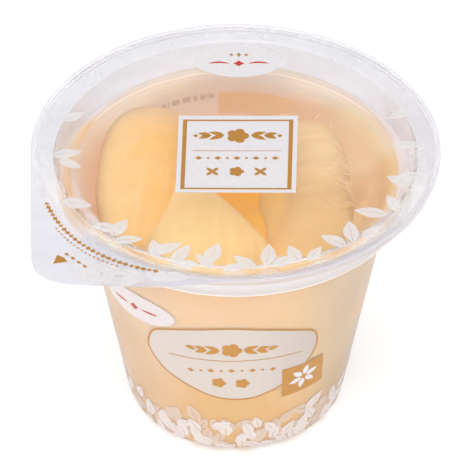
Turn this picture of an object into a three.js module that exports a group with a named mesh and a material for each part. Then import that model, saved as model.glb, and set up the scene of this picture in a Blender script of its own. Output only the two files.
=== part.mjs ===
// Sealed dessert cup: a thin clear plastic cup full of fruit jelly, closed by
// a clear film lid with a pull tab.
// Millimetres, +Z up. Origin at the centre of the cup's base, on its underside;
// the pull tab is at the corner towards -X and -Y.

import * as THREE from 'three';

// ---- driving dimensions ------------------------------------------------
const TOTAL_H = 79.0;          // base underside to the top of the film
const WALL = 0.8;              // plastic thickness of the cup

const BASE_R = 27.7;           // body wall's cone, carried down to the base plane
const BODY_TOP_R = 39.9;       // outside of the body just under the ledge
const BASE_ROUND = 5.0;        // rounding between the base and the wall

const LEDGE_Z = 68.7;          // underside of the ledge
const SHOULDER_LOW_R = 45.1;   // outside of the shoulder at the ledge
const SHOULDER_TOP_R = 45.6;   // outside of the shoulder under the flange

const FLANGE_R = 51.0;         // outside of the sealing flange
const FLANGE_T = 0.9;          // thickness of the flange
const LIP_H = 1.6;             // height of the flange's turned-down edge

const FILM_R = 51.5;           // round part of the film
const FILM_T = 0.3;            // thickness of the film
const FILM_GAP = 0.1;          // seal line between the film and the flange

const TAB_LEFT_DEG = 182.5;    // where the tab's left side leaves the circle
const TAB_LEFT_END = [-49.7, -42.5];   // left side, where the corner starts
const TAB_CORNER = [-49.2, -53.0];     // the corner before it is rounded
const TAB_FRONT_START = [-39.2, -53.2];  // front side, where the corner ends
const TAB_FRONT_END = [-22.0, -53.6];  // where the front side turns back
const TAB_FRONT_PULL = [[-13.0, -53.8], [-7.0, -51.8]];  // ease back to the circle
const TAB_FRONT_DEG = 272.0;   // where the front side meets the circle again

const JELLY_DEPTH = 5.0;       // top of the film down to the jelly
const JELLY_GAP = 0.15;        // jelly to the cup, all over

const SIDES = 72;              // facets around a turned piece

// ---- helpers -----------------------------------------------------------

// Turns corners [r, z, rounding radius, arc steps] into profile points, with an
// arc tangent to both neighbouring sides at each corner that has a radius.
function roundedProfile(corners) {
  const out = [];
  corners.forEach(([r, z, round = 0, steps = 3], i) => {
    const here = new THREE.Vector2(r, z);
    if (!round || i === 0 || i === corners.length - 1) {
      out.push(here);
      return;
    }
    const toPrev = new THREE.Vector2(corners[i - 1][0] - r, corners[i - 1][1] - z).normalize();
    const toNext = new THREE.Vector2(corners[i + 1][0] - r, corners[i + 1][1] - z).normalize();
    const half = Math.acos(THREE.MathUtils.clamp(toPrev.dot(toNext), -1, 1)) / 2;
    const reach = round / Math.tan(half);
    const centre = here.clone().add(
      toPrev.clone().add(toNext).normalize().multiplyScalar(round / Math.sin(half)));
    const from = here.clone().addScaledVector(toPrev, reach).sub(centre);
    const to = here.clone().addScaledVector(toNext, reach).sub(centre);
    let sweep = to.angle() - from.angle();
    if (sweep > Math.PI) sweep -= 2 * Math.PI;
    if (sweep < -Math.PI) sweep += 2 * Math.PI;
    for (let k = 0; k <= steps; k++) {
      const a = from.angle() + (sweep * k) / steps;
      out.push(new THREE.Vector2(centre.x + round * Math.cos(a), centre.y + round * Math.sin(a)));
    }
  });
  return out;
}

// A turned piece about Z from a profile that starts and ends on the axis.
function turned(profile) {
  const geometry = new THREE.LatheGeometry(profile, SIDES);
  geometry.rotateX(Math.PI / 2);
  return geometry;
}

function plastic(color, roughness, opacity = 1) {
  return new THREE.MeshStandardMaterial({
    color, roughness, metalness: 0, opacity, transparent: opacity < 1,
  });
}

// ---- cup ---------------------------------------------------------------
const FLANGE_TOP = TOTAL_H - FILM_T - FILM_GAP;
const FLANGE_LOW = FLANGE_TOP - FLANGE_T;
const slope = (BODY_TOP_R - BASE_R) / LEDGE_Z;       // body wall, mm out per mm up
const bodyR = (z) => BASE_R + slope * z;             // outside of the body at a height
const shoulderSlope = (SHOULDER_TOP_R - SHOULDER_LOW_R) / (FLANGE_LOW - LEDGE_Z);
const shoulderR = (z) => SHOULDER_LOW_R + shoulderSlope * (z - LEDGE_Z);

const cupProfile = roundedProfile([
  // outside, from the middle of the base up to the flange
  [0, 0],
  [BASE_R, 0, BASE_ROUND, 6],
  [BODY_TOP_R, LEDGE_Z, 1.2, 3],
  [SHOULDER_LOW_R, LEDGE_Z, 1.0, 3],
  [SHOULDER_TOP_R, FLANGE_LOW, 0.6, 2],
  [FLANGE_R - WALL, FLANGE_LOW, 0.3, 1],
  [FLANGE_R - WALL, FLANGE_TOP - LIP_H],
  [FLANGE_R, FLANGE_TOP - LIP_H],
  [FLANGE_R, FLANGE_TOP, 0.5, 2],
  // inside, from the flange back down to the middle of the base
  [shoulderR(FLANGE_TOP) - WALL, FLANGE_TOP, 0.8, 3],
  [SHOULDER_LOW_R - WALL, LEDGE_Z + WALL, 0.5, 2],
  [bodyR(LEDGE_Z + WALL) - WALL, LEDGE_Z + WALL, 2.0, 4],
  [bodyR(WALL) - WALL, WALL, BASE_ROUND - WALL, 6],
  [0, WALL],
]);
const cup = new THREE.Mesh(turned(cupProfile), plastic(0xe9e6ec, 0.15, 0.35));
cup.name = 'cup';

// ---- jelly -------------------------------------------------------------
// Fills the body, covers the ledge and stands in the shoulder, under a headspace.
const JELLY_TOP = TOTAL_H - JELLY_DEPTH;
const jellyWall = WALL + JELLY_GAP;
const jellyProfile = roundedProfile([
  [0, jellyWall],
  [bodyR(jellyWall) - jellyWall, jellyWall, BASE_ROUND - jellyWall, 5],
  [bodyR(LEDGE_Z + jellyWall) - jellyWall, LEDGE_Z + jellyWall, 2.0 + JELLY_GAP, 4],
  [SHOULDER_LOW_R - jellyWall, LEDGE_Z + jellyWall, 0.4, 2],
  [shoulderR(JELLY_TOP) - jellyWall, JELLY_TOP],
  [0, JELLY_TOP],
]);
const jelly = new THREE.Mesh(turned(jellyProfile), plastic(0xf6cf9d, 0.25, 0.9));
jelly.name = 'jelly';

// ---- film lid with its pull tab ----------------------------------------
const onFilm = (deg) => [
  FILM_R * Math.cos(THREE.MathUtils.degToRad(deg)),
  FILM_R * Math.sin(THREE.MathUtils.degToRad(deg)),
];
const filmOutline = new THREE.Shape();
filmOutline.moveTo(...onFilm(TAB_LEFT_DEG));
filmOutline.lineTo(...TAB_LEFT_END);
filmOutline.quadraticCurveTo(...TAB_CORNER, ...TAB_FRONT_START);
filmOutline.lineTo(...TAB_FRONT_END);
filmOutline.bezierCurveTo(...TAB_FRONT_PULL[0], ...TAB_FRONT_PULL[1], ...onFilm(TAB_FRONT_DEG));
filmOutline.absarc(0, 0, FILM_R,
  THREE.MathUtils.degToRad(TAB_FRONT_DEG - 360), THREE.MathUtils.degToRad(TAB_LEFT_DEG), false);
const lidGeometry = new THREE.ExtrudeGeometry(filmOutline, {
  depth: FILM_T, bevelEnabled: false, curveSegments: 44,
});
const lid = new THREE.Mesh(lidGeometry, plastic(0xeeecf2, 0.12, 0.3));
lid.name = 'lid_film';
lid.position.z = TOTAL_H - FILM_T;

// ---- the whole thing ---------------------------------------------------
const part = new THREE.Group();
part.add(cup, jelly, lid);

export default part;
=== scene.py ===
"""Looks of a sealed clear cup of peach jelly: cup, jelly, fruit, film lid and print."""

import math
import random

import bpy
import numpy as np
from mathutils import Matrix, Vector, noise


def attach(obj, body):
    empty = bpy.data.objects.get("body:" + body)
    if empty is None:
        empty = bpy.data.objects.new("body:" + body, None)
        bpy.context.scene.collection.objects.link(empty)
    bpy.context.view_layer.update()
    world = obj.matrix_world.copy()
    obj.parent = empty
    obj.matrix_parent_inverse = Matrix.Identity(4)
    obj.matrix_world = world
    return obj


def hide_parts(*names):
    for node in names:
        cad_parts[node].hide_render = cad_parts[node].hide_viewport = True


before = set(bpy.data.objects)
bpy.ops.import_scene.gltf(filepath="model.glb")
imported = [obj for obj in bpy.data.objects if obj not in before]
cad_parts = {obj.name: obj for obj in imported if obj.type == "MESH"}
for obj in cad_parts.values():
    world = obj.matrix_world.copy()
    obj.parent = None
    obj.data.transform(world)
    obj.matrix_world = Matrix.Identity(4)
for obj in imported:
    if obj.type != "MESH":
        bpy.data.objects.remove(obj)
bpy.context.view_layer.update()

MM = 0.001
SCENE = bpy.context.scene

# ------------------------------------------------------------------ sizes, mm
# The same sizes as the CAD model's.
TOTAL_H = 79.0
WALL = 0.8
BASE_R, BODY_TOP_R, BASE_ROUND = 27.7, 39.9, 5.0
LEDGE_Z = 68.7
SHOULDER_LOW_R, SHOULDER_TOP_R = 45.1, 45.6
FLANGE_R, FLANGE_T, LIP_H = 51.0, 0.9, 1.6
FILM_R, FILM_GAP, FILM_T = 51.5, 0.1, 0.3
FLANGE_TOP = TOTAL_H - FILM_T - FILM_GAP
FLANGE_LOW = FLANGE_TOP - FLANGE_T
JELLY_TOP = 74.0
BITE = 0.25                    # how far the jelly reaches into the cup's wall

SLOPE = (BODY_TOP_R - BASE_R) / LEDGE_Z
BETA = math.atan(SLOPE)
SHOULDER_SLOPE = (SHOULDER_TOP_R - SHOULDER_LOW_R) / (FLANGE_LOW - LEDGE_Z)


def body_r(z):
    return BASE_R + SLOPE * z


def shoulder_r(z):
    return SHOULDER_LOW_R + SHOULDER_SLOPE * (z - LEDGE_Z)


def lin(r, g, b):
    """0-255 display colour to linear RGB."""
    out = []
    for c in (r, g, b):
        c = c / 255.0
        out.append(c / 12.92 if c <= 0.04045 else ((c + 0.055) / 1.055) ** 2.4)
    return tuple(out)


# ------------------------------------------------------------------ materials
class Mat:
    """A node material with one Principled shader and a few short ways to add nodes."""

    def __init__(self, name, **sockets):
        self.m = bpy.data.materials.new(name)
        self.m.use_nodes = True
        self.nt = self.m.node_tree
        self.nt.nodes.clear()
        self.out = self.nt.nodes.new("ShaderNodeOutputMaterial")
        self.p = self.nt.nodes.new("ShaderNodeBsdfPrincipled")
        self.nt.links.new(self.p.outputs[0], self.out.inputs["Surface"])
        for key, value in sockets.items():
            self.p.inputs[key.replace("_", " ")].default_value = value
        self._place = None

    def node(self, kind, **sockets):
        n = self.nt.nodes.new(kind)
        for key, value in sockets.items():
            n.inputs[key].default_value = value
        return n

    def link(self, a, b):
        self.nt.links.new(a, b)

    def place(self):
        if self._place is None:
            self._place = self.nt.nodes.new("ShaderNodeTexCoord").outputs["Object"]
        return self._place

    def scaled(self, sx, sy, sz, turn=(0, 0, 0)):
        n = self.nt.nodes.new("ShaderNodeMapping")
        n.inputs["Scale"].default_value = (sx, sy, sz)
        n.inputs["Rotation"].default_value = turn
        self.link(self.place(), n.inputs["Vector"])
        return n.outputs[0]

    def noise(self, scale, detail=2.0, rough=0.5, vector=None, distort=0.0):
        n = self.nt.nodes.new("ShaderNodeTexNoise")
        n.inputs["Scale"].default_value = scale
        n.inputs["Detail"].default_value = detail
        n.inputs["Roughness"].default_value = rough
        n.inputs["Distortion"].default_value = distort
        self.link(vector or self.place(), n.inputs["Vector"])
        return n.outputs[0]

    def span(self, value, a, b, c=0.0, d=1.0, smooth=True):
        n = self.nt.nodes.new("ShaderNodeMapRange")
        n.interpolation_type = "SMOOTHSTEP" if smooth else "LINEAR"
        for i, v in enumerate((a, b, c, d)):
            n.inputs[1 + i].default_value = v
        self.link(value, n.inputs[0])
        return n.outputs[0]

    def math(self, op, a, b=None, clamp=False):
        n = self.nt.nodes.new("ShaderNodeMath")
        n.operation = op
        n.use_clamp = clamp
        for i, v in enumerate((a, b)):
            if v is None:
                continue
            if isinstance(v, (int, float)):
                n.inputs[i].default_value = v
            else:
                self.link(v, n.inputs[i])
        return n.outputs[0]

    def mix(self, fac, a, b):
        n = self.nt.nodes.new("ShaderNodeMix")
        n.data_type = "RGBA"
        for socket, v in ((n.inputs[0], fac), (n.inputs[6], a), (n.inputs[7], b)):
            if isinstance(v, (int, float)):
                socket.default_value = v
            elif isinstance(v, tuple):
                socket.default_value = (*v, 1.0)
            else:
                self.link(v, socket)
        return n.outputs[2]

    def xyz(self):
        n = self.nt.nodes.new("ShaderNodeSeparateXYZ")
        self.link(self.place(), n.inputs[0])
        return n.outputs

    def radius(self):
        """Distance from the cup's axis."""
        flat = self.nt.nodes.new("ShaderNodeVectorMath")
        flat.operation = "MULTIPLY"
        flat.inputs[1].default_value = (1.0, 1.0, 0.0)
        self.link(self.place(), flat.inputs[0])
        n = self.nt.nodes.new("ShaderNodeVectorMath")
        n.operation = "LENGTH"
        self.link(flat.outputs[0], n.inputs[0])
        return n.outputs["Value"]

    def within(self, x0, x1, y0, y1, soft=1.5):
        """1 over a box of x and y in mm, with soft borders."""
        x, y, _ = self.xyz()
        out = None
        for axis, a, b in ((x, x0, x1), (y, y0, y1)):
            for edge, way in ((a, 1), (b, -1)):
                step = self.span(axis, (edge - way * soft) * MM, (edge + way * soft) * MM)
                out = step if out is None else self.math("MULTIPLY", out, step)
        return out

    def facing(self):
        """0 where a clear surface is seen square on, 1 where it turns away."""
        n = self.nt.nodes.new("ShaderNodeLayerWeight")
        n.inputs["Blend"].default_value = 0.5
        return n.outputs["Facing"]

    def base(self, colour):
        self.link(colour, self.p.inputs["Base Color"])

    def bump(self, height, strength, distance):
        n = self.nt.nodes.new("ShaderNodeBump")
        n.inputs["Strength"].default_value = strength
        n.inputs["Distance"].default_value = distance
        self.link(height, n.inputs["Height"])
        self.link(n.outputs[0], self.p.inputs["Normal"])


def clear_plastic(name, tint, milk, rough, gloss, ior=1.13, edge=None, patches=(), bare=None):
    """Clear plastic with a share of milky scatter, and faint flow marks from moulding.
    Its gloss is a coat, so that what lies against its other side isn't dimmed. edge is a
    darker tint where it turns away from view: partly the long way through it, and partly painted
    shade for the darker surroundings seen through its edge; patches holds (box of x and y, shade);
    bare is (where, shade): a share at the front where it is fully clear."""
    m = Mat(name, Transmission_Weight=1.0 - milk, IOR=ior, Roughness=rough)
    m.p.inputs["Coat Weight"].default_value = gloss
    m.p.inputs["Coat Roughness"].default_value = rough
    m.p.inputs["Coat IOR"].default_value = 1.49
    cloud = m.noise(60.0, 3.0)
    tone = m.mix(m.span(cloud, 0.3, 0.7), tint, tuple(c * 0.975 for c in tint))
    for box, shade in patches:
        tone = m.mix(m.within(*box), tone, shade)
    if bare is not None:
        share = bare[0](m)
        tone = m.mix(share, tone, bare[1])
        m.link(m.span(share, 0.0, 1.0, 1.0 - milk, 0.98), m.p.inputs["Transmission Weight"])
    if edge is not None:
        tone = m.mix(m.span(m.facing(), 0.78, 0.96), tone, edge)
    m.base(tone)
    m.bump(m.noise(90.0, 2.0), 0.12, 0.0004)
    return m


# at the front left, beside the tab, the jelly's tan shows through the ledge and the shoulder
TAN_PATCH = (-50, -34.0, -23.5, -3.0, 4.0)


def over_jelly(m):
    """The front half of the shoulder, above the jelly."""
    return m.math("MULTIPLY", m.span(m.xyz()[1], -0.006, -0.016), m.span(m.xyz()[2], 0.0743, 0.0750))


def inner_flange(m):
    """The front half of the flange, but for its outer edge."""
    return m.math("MULTIPLY", m.span(m.xyz()[1], -0.006, -0.016), m.span(m.radius(), 0.0496, 0.0488))


# the body's edge tint: partly the long way through the plastic, partly painted shade
CUP_BODY =clear_plastic("cup_body_plastic", (0.90, 0.885, 0.885), 0.07, 0.08, 0.12, 1.06,
                         edge=(0.50, 0.50, 0.52))
# over the front, y below -24 mm, the shoulder's outside gets a darker tint: painted shade
CUP_SHOULDER = clear_plastic("cup_shoulder_plastic", (0.97, 0.96, 0.97), 0.55, 0.12, 0.5,
                             patches=(((-60, 60, -70, -24, 6.0), (0.71, 0.695, 0.705)),
                                      (TAN_PATCH, (0.90, 0.72, 0.54))),
                             bare=(over_jelly, (0.98, 0.94, 0.80)))
CUP_SHOULDER_IN = clear_plastic("cup_shoulder_inner_plastic", (0.81, 0.79, 0.78), 0.45, 0.12, 0.6,
                                patches=(((-60, 60, 24, 70, 8.0), (0.80, 0.85, 0.89)),
                                         (TAN_PATCH, (0.84, 0.60, 0.38))),
                                bare=(over_jelly, (0.98, 0.94, 0.82)))
# the ledge's lower outer corner, nearly opaque white: milky plastic, and a painted highlight along that
# corner
CUP_EDGE = clear_plastic("cup_edge_plastic", (0.99, 0.98, 1.0), 0.95, 0.15, 0.8)
# the flange's tint is darker at the right and over the front edge: painted shade
CUP_FLANGE = clear_plastic("cup_flange_plastic", (0.815, 0.82, 0.845), 0.12, 0.10, 0.7,
                           patches=(((34, 70, -36, 28, 8.0), (0.79, 0.77, 0.785)),
                                    ((-26, 34, -70, -44, 5.0), (0.78, 0.75, 0.755))),
                           bare=(inner_flange, (0.97, 0.96, 0.95)))
# the lip's tint is darker over the front: painted shade
CUP_LIP = clear_plastic("cup_lip_plastic", (0.89, 0.88, 0.89), 0.30, 0.12, 0.4,
                        patches=(((-70, 70, -70, -14), (0.68, 0.65, 0.65)),
                                 ((-60, -38, -40, -16, 3.0), (0.90, 0.80, 0.75))))

FILM = Mat("lid_film_plastic", IOR=1.08, Roughness=0.02)
FILM.p.inputs["Coat Weight"].default_value = 0.6
FILM.p.inputs["Coat Roughness"].default_value = 0.03
FILM.p.inputs["Coat IOR"].default_value = 1.45
_streak = FILM.noise(1.0, 3.0, 0.55, FILM.scaled(30, 90, 30))
_clear = FILM.mix(FILM.span(_streak, 0.35, 0.65), (0.775, 0.765, 0.788), (0.81, 0.80, 0.82))
_front = FILM.math("MULTIPLY", FILM.math("MULTIPLY", FILM.span(FILM.xyz()[1], -0.026, -0.036),
                                         FILM.span(FILM.radius(), 0.0455, 0.0465)),
                   FILM.span(FILM.radius(), 0.0496, 0.0488))
FILM.base(FILM.mix(FILM.span(FILM.radius(), 0.0503, 0.0512),
                   FILM.mix(_front, _clear, (0.94, 0.89, 0.85)),
                   FILM.mix(FILM.span(_streak, 0.35, 0.65), (0.68, 0.675, 0.715), (0.71, 0.705, 0.745))))
FILM.bump(FILM.noise(1.0, 2.0, 0.5, FILM.scaled(120, 260, 120)), 0.06, 0.0004)
FILM.link(FILM.span(FILM.radius(), 0.0503, 0.0512, 1.0, 0.60), FILM.p.inputs["Transmission Weight"])


def ink(name, colour, alpha, rough, metallic=0.0):
    """Printing ink: slightly uneven cover and gloss."""
    m = Mat(name, Roughness=rough, Metallic=metallic, Alpha=alpha)
    m.p.inputs["Specular IOR Level"].default_value = 0.35
    grain = m.noise(900.0, 2.0)
    m.base(m.mix(m.span(grain, 0.3, 0.7), colour, tuple(c * 0.95 for c in colour)))
    m.link(m.span(m.noise(300.0, 2.0), 0.2, 0.8, rough - 0.06, rough + 0.06),
           m.p.inputs["Roughness"])
    return m


WHITE_INK = ink("white_ink", (0.71, 0.69, 0.715), 0.95, 0.45)
WHITE_LEAF = ink("white_leaf_ink", (0.72, 0.70, 0.71), 0.62, 0.45)
FAINT_LEAF = ink("faint_leaf_ink", (0.72, 0.71, 0.73), 0.17, 0.45)
PAD_INK = ink("pad_ink", (0.74, 0.68, 0.68), 0.86, 0.45)
FOOT_LEAF = ink("foot_leaf_ink", (0.77, 0.71, 0.69), 0.70, 0.45)
FOOT_FAINT = ink("foot_faint_ink", (0.74, 0.62, 0.54), 0.46, 0.45)
PANEL_INK = ink("panel_ink", (0.82, 0.78, 0.79), 0.72, 0.45)

# the white ground of the front panel, a little darker towards the right: painted shade where the wall turns
# away
SHIELD_INK = Mat("shield_ink", Roughness=0.45, Alpha=0.92)
SHIELD_INK.p.inputs["Specular IOR Level"].default_value = 0.35
_grain = SHIELD_INK.mix(SHIELD_INK.span(SHIELD_INK.noise(900.0, 2.0), 0.3, 0.7),
                        (0.63, 0.56, 0.515), (0.605, 0.54, 0.495))
SHIELD_INK.base(SHIELD_INK.mix(SHIELD_INK.span(SHIELD_INK.xyz()[0], 0.002, 0.024),
                               _grain, (0.54, 0.465, 0.425)))
GOLD_INK = ink("gold_ink", lin(186, 133, 62), 1.0, 0.38, 0.15)
RED_INK = ink("dark_red_ink", lin(190, 60, 50), 1.0, 0.45)
GREY_INK = ink("grey_ink", lin(128, 118, 122), 0.8, 0.5)

# jelly seen through the side, softly clouded and deeper towards the bottom; its colour also holds painted
# shade and a painted highlight, set by position
HAZE_OUT = Mat("jelly_side", Roughness=0.6)
HAZE_OUT.p.inputs["Specular IOR Level"].default_value = 0.1
_x, _y, _z = HAZE_OUT.xyz()
_cloud = HAZE_OUT.noise(24.0, 3.0, 0.5)
_fine = HAZE_OUT.noise(90.0, 2.0, 0.5)
_pale, _deep = lin(222, 186, 144), lin(208, 165, 104)
_up = HAZE_OUT.span(_z, 0.012, 0.060)
_mix1 = HAZE_OUT.mix(_up, _deep, _pale)
_round = HAZE_OUT.math("DIVIDE", _x, HAZE_OUT.radius())
# painted shade: greyer towards the sides, where the wall turns away
_side_shade = HAZE_OUT.span(HAZE_OUT.math("ABSOLUTE", _round), 0.25, 0.6, 0.0, 0.5)
_mix1 = HAZE_OUT.mix(_side_shade, _mix1, lin(213, 180, 150))
# painted shade: darker and greyer to the right, most of all low down, darker on the left side, and darker
# along both silhouettes where the wall turns away
_mix1 = HAZE_OUT.mix(HAZE_OUT.span(_x, 0.004, 0.024, 0.0, 0.6), _mix1, lin(213, 189, 142))
_right_shade = HAZE_OUT.mix(HAZE_OUT.span(_z, 0.014, 0.032), lin(176, 156, 131), lin(195, 172, 145))
_mix2 = HAZE_OUT.mix(HAZE_OUT.span(_x, 0.014, 0.028, 0.0, 0.95), _mix1, _right_shade)
_mix2 = HAZE_OUT.mix(HAZE_OUT.span(_round, 0.92, 0.99, 0.0, 0.7), _mix2, lin(173, 151, 126))
_left_shade = HAZE_OUT.mix(HAZE_OUT.span(_z, 0.030, 0.046), lin(188, 158, 127), lin(193, 175, 156))
_mix2 = HAZE_OUT.mix(HAZE_OUT.span(_round, -0.45, -0.85, 0.0, 0.6), _mix2, _left_shade)
_mix2 = HAZE_OUT.mix(HAZE_OUT.span(_round, -0.90, -0.99, 0.0, 0.8), _mix2, lin(170, 149, 131))
_warm = HAZE_OUT.span(_cloud, 0.50, 0.68)
_mix3 = HAZE_OUT.mix(HAZE_OUT.math("MULTIPLY", _warm, 0.5), _mix2, lin(214, 163, 98))
_cool = HAZE_OUT.span(_cloud, 0.46, 0.30)
_mix3 = HAZE_OUT.mix(HAZE_OUT.math("MULTIPLY", _cool, 0.4), _mix3, lin(220, 198, 171))
# paler above z 63 mm, just below the rim: a painted highlight
_mix3 = HAZE_OUT.mix(HAZE_OUT.span(_z, 0.0630, 0.0642, 0.0, 0.6), _mix3, lin(228, 208, 186))
HAZE_OUT.base(HAZE_OUT.mix(HAZE_OUT.span(_fine, 0.35, 0.7, 0.0, 0.18), _mix3, lin(222, 195, 162)))

# the same haze seen from above, on the far wall, through clear jelly
HAZE_IN = Mat("jelly_far_wall", Roughness=0.6)
HAZE_IN.p.inputs["Specular IOR Level"].default_value = 0.1
_x, _y, _z = HAZE_IN.xyz()
_cloud = HAZE_IN.noise(30.0, 3.0, 0.5)
_in1 = HAZE_IN.mix(HAZE_IN.span(_z, 0.056, 0.066), lin(249, 213, 163), lin(220, 199, 193))
# painted shade: the top of the far wall, where it curves up to the ledge, gets a greyer colour set against
# the light this upturned curve catches, darker in the middle under the pad
_top_shade = HAZE_IN.math("MULTIPLY", HAZE_IN.span(_z, 0.0655, 0.0682), HAZE_IN.span(_x, 0.036, 0.026))
_top_shade = HAZE_IN.math("MULTIPLY", _top_shade, HAZE_IN.span(_x, -0.038, -0.028))
_in1 = HAZE_IN.mix(_top_shade, _in1, HAZE_IN.mix(HAZE_IN.within(-12, 14, 20, 60, 3.0),
                                            lin(228, 224, 228), lin(218, 212, 220)))
_right = HAZE_IN.math("MULTIPLY", HAZE_IN.span(_x, 0.018, 0.026), HAZE_IN.span(_y, 0.036, 0.022))
_in1 = HAZE_IN.mix(_right, _in1, HAZE_IN.mix(HAZE_IN.span(_y, 0.004, 0.012),
                                             lin(223, 194, 158), lin(226, 214, 194)))
_in1 = HAZE_IN.mix(HAZE_IN.within(-10, 13, -30, 22, 3.0), _in1, lin(250, 197, 42))
_in2 = HAZE_IN.mix(HAZE_IN.span(_cloud, 0.4, 0.7, 0.0, 0.25), _in1, lin(240, 200, 150))


def _between(value, a, b, edge=0.0006):
    return HAZE_IN.math("MULTIPLY", HAZE_IN.span(value, a - edge, a + edge),
                        HAZE_IN.span(value, b + edge, b - edge))


# the back print as it shows through the far wall: a window in the white ground, a row of marks
_behind = HAZE_IN.span(_y, 0.010, 0.012)
_fade = HAZE_IN.span(_x, 0.026, 0.010)
_window = HAZE_IN.math("MULTIPLY", HAZE_IN.span(_x, -0.0050, -0.0040), _between(_z, 0.0598, 0.0655))
_window = HAZE_IN.math("MULTIPLY", HAZE_IN.math("MULTIPLY", _window, _behind), _fade)
_ground = HAZE_IN.math("MULTIPLY", HAZE_IN.span(_x, -0.026, -0.020), _between(_z, 0.0585, 0.0675))
_ground = HAZE_IN.math("MULTIPLY", HAZE_IN.math("MULTIPLY", _ground, _behind), _fade)
_in3 = HAZE_IN.mix(HAZE_IN.math("MULTIPLY", _ground, 0.75), _in2, lin(219, 211, 218))
_in4 = HAZE_IN.mix(HAZE_IN.math("MULTIPLY", _window, 0.9), _in3, lin(217, 186, 150))
_marks = HAZE_IN.math("MULTIPLY", _between(_x, -0.019, -0.0055), _between(_z, 0.0640, 0.0654, 0.0002))
_dash = HAZE_IN.span(HAZE_IN.noise(1.0, 1.0, 0.5, HAZE_IN.scaled(1100, 0, 0)), 0.44, 0.50)
_marks = HAZE_IN.math("MULTIPLY", HAZE_IN.math("MULTIPLY", _marks, _behind), _dash)
HAZE_IN.base(HAZE_IN.mix(HAZE_IN.math("MULTIPLY", _marks, 0.55), _in4, lin(150, 134, 132)))

# the ledge under thin jelly: a raised bead at its inner edge, near white as a painted highlight, and milky
# plastic outside it
HAZE_LIP = Mat("jelly_ledge_highlight", Roughness=0.5)
HAZE_LIP.p.inputs["Specular IOR Level"].default_value = 0.2
_uneven = HAZE_LIP.span(HAZE_LIP.noise(70.0, 2.0), 0.3, 0.7)
_ledge = HAZE_LIP.mix(HAZE_LIP.span(HAZE_LIP.radius(), 0.0420, 0.0424),
                      HAZE_LIP.mix(_uneven, lin(253, 248, 248), lin(248, 240, 238)),
                      HAZE_LIP.mix(_uneven, lin(226, 219, 222), lin(221, 210, 210)))
_ledge = HAZE_LIP.mix(HAZE_LIP.within(33, 60, -30, 34, 4.0), _ledge, lin(226, 212, 206))
_inner = HAZE_LIP.math("MULTIPLY", HAZE_LIP.span(HAZE_LIP.radius(), 0.0417, 0.0413),
                       HAZE_LIP.span(HAZE_LIP.xyz()[1], -0.010, 0.004))
_ledge = HAZE_LIP.mix(_inner, _ledge, lin(226, 209, 196))
HAZE_LIP.base(HAZE_LIP.mix(HAZE_LIP.within(-50, -34, -23.5, 22, 4.0), _ledge, lin(230, 188, 145)))
for _m in (HAZE_OUT, HAZE_IN, HAZE_LIP):
    _m.p.inputs["Subsurface Weight"].default_value = 0.6
    _m.p.inputs["Subsurface Radius"].default_value = (1.0, 0.72, 0.5)
    _m.p.inputs["Subsurface Scale"].default_value = 0.005

JELLY = Mat("clear_jelly", Transmission_Weight=0.90, IOR=1.12, Roughness=0.02)
_ripple = JELLY.noise(35.0, 2.0)
JELLY.base(JELLY.mix(JELLY.span(JELLY.radius(), 0.0402, 0.0412),
                     JELLY.mix(JELLY.span(_ripple, 0.3, 0.7), (0.92, 0.76, 0.55), (0.925, 0.77, 0.57)),
                     (0.95, 0.93, 0.945)))
JELLY.bump(_ripple, 0.15, 0.001)


def peach_flesh(name, pale, deep, at, towards, fibre_turn, fibre=0.5, far=None, haze_and_painted_light=(),
                grain=(420, 60, 160)):
    """Peach flesh: a pale to deep shade along one direction, and fine fibres along another.
    far is (y, y, shade): the haze that it sinks into between two depths; more blends follow,
    as (axis, from, to, shade): some into more haze, some painted light on parts in shade."""
    m = Mat(name, Roughness=0.5)
    m.p.inputs["Specular IOR Level"].default_value = 0.12
    m.p.inputs["Subsurface Weight"].default_value = 0.7
    m.p.inputs["Subsurface Radius"].default_value = (1.0, 0.66, 0.36)
    m.p.inputs["Subsurface Scale"].default_value = 0.010
    x, y, z = m.xyz()
    run = None
    for axis, a, t in zip((x, y, z), at, towards):
        part = m.math("MULTIPLY", m.math("SUBTRACT", axis, a * MM), t / MM)
        run = part if run is None else m.math("ADD", run, part)
    cloud = m.math("MULTIPLY", m.math("SUBTRACT", m.noise(110.0, 3.0), 0.5), 0.7)
    shade = m.span(m.math("ADD", run, cloud), 0.0, 1.0)
    streaks = m.noise(1.0, 4.0, 0.6, m.scaled(*grain, fibre_turn))
    tone = m.mix(shade, pale, deep)
    lighter = tuple(min(1.0, c * 1.12 + 0.02) for c in pale)
    tone = m.mix(m.math("MULTIPLY", m.span(streaks, 0.46, 0.70), fibre), tone, lighter)
    darker = tuple(c * 0.88 for c in deep)
    tone = m.mix(m.math("MULTIPLY", m.span(streaks, 0.44, 0.28), fibre * 0.6), tone, darker)
    if far is not None:
        tone = m.mix(m.span(y, far[0] * MM, far[1] * MM), tone, far[2])
    for axis, start, end, colour in haze_and_painted_light:
        tone = m.mix(m.span((x, y, z)[axis], start * MM, end * MM), tone, colour)
    m.base(tone)
    m.bump(streaks, 0.35, 0.0006)
    return m


# ------------------------------------------------------------------ mesh helpers
def piece(name, verts, faces, mats, mats_of=None, sharp=35.0):
    """One object from points in mm, riding on the body."""
    me = bpy.data.meshes.new(name)
    me.from_pydata([tuple(float(c) * MM for c in v) for v in verts], [], faces)
    for m in mats:
        me.materials.append(m.m)
    if mats_of is not None:
        me.polygons.foreach_set("material_index", mats_of)
    me.polygons.foreach_set("use_smooth", [True] * len(me.polygons))
    me.update()
    me.set_sharp_from_angle(angle=math.radians(sharp))
    ob = bpy.data.objects.new(name, me)
    SCENE.collection.objects.link(ob)
    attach(ob, "root")
    return ob


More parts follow.
